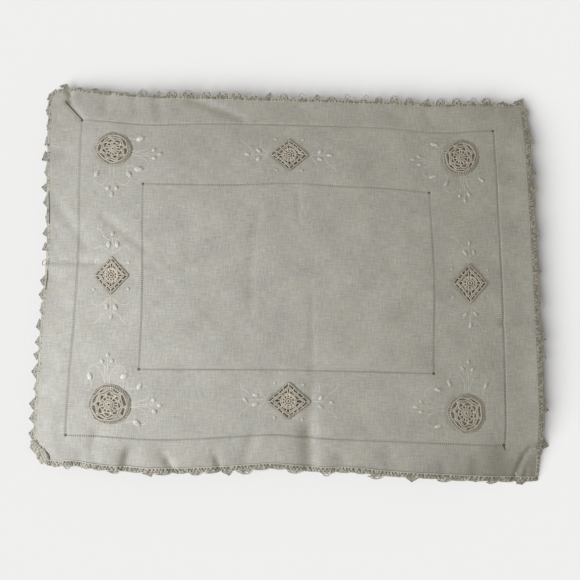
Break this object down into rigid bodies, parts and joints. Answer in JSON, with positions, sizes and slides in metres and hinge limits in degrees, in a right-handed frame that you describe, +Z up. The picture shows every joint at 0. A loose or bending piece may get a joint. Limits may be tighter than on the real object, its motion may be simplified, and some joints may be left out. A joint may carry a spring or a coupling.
{
  "type": "pillow sham",
  "caption": "Small linen pillow sham, lightly filled and lying flat, with a drawn-thread hem, crochet rosettes and lozenges, and crochet lace along every edge.",
  "frame": {"origin": "on the table, under the middle of the linen, on the flat part of the back", "axes": "+X along the long side, +Y to the top edge, +Z up out of the embroidered front"},
  "size_m": [0.4272, 0.3369, 0.028],
  "materials": {
    "linen": "matt plain-weave linen, washed soft, pale greyish beige",
    "crochet": "matt ecru cotton crochet thread",
    "lace": "matt ecru cotton crochet lace, slightly dulled",
    "embroidery": "soft white cotton embroidery thread with a faint sheen"
  },
  "bodies": {
    "root": {"linen_cover": "linen", "rosette_nw": "crochet", "rosette_ne": "crochet", "rosette_se": "crochet", "rosette_sw": "crochet", "lozenge_n": "crochet", "lozenge_e": "crochet", "lozenge_s": "crochet", "lozenge_w": "crochet", "lace_top": "lace", "lace_right": "lace", "lace_bottom": "lace", "lace_left": "lace"}
  },
  "joints": []
}
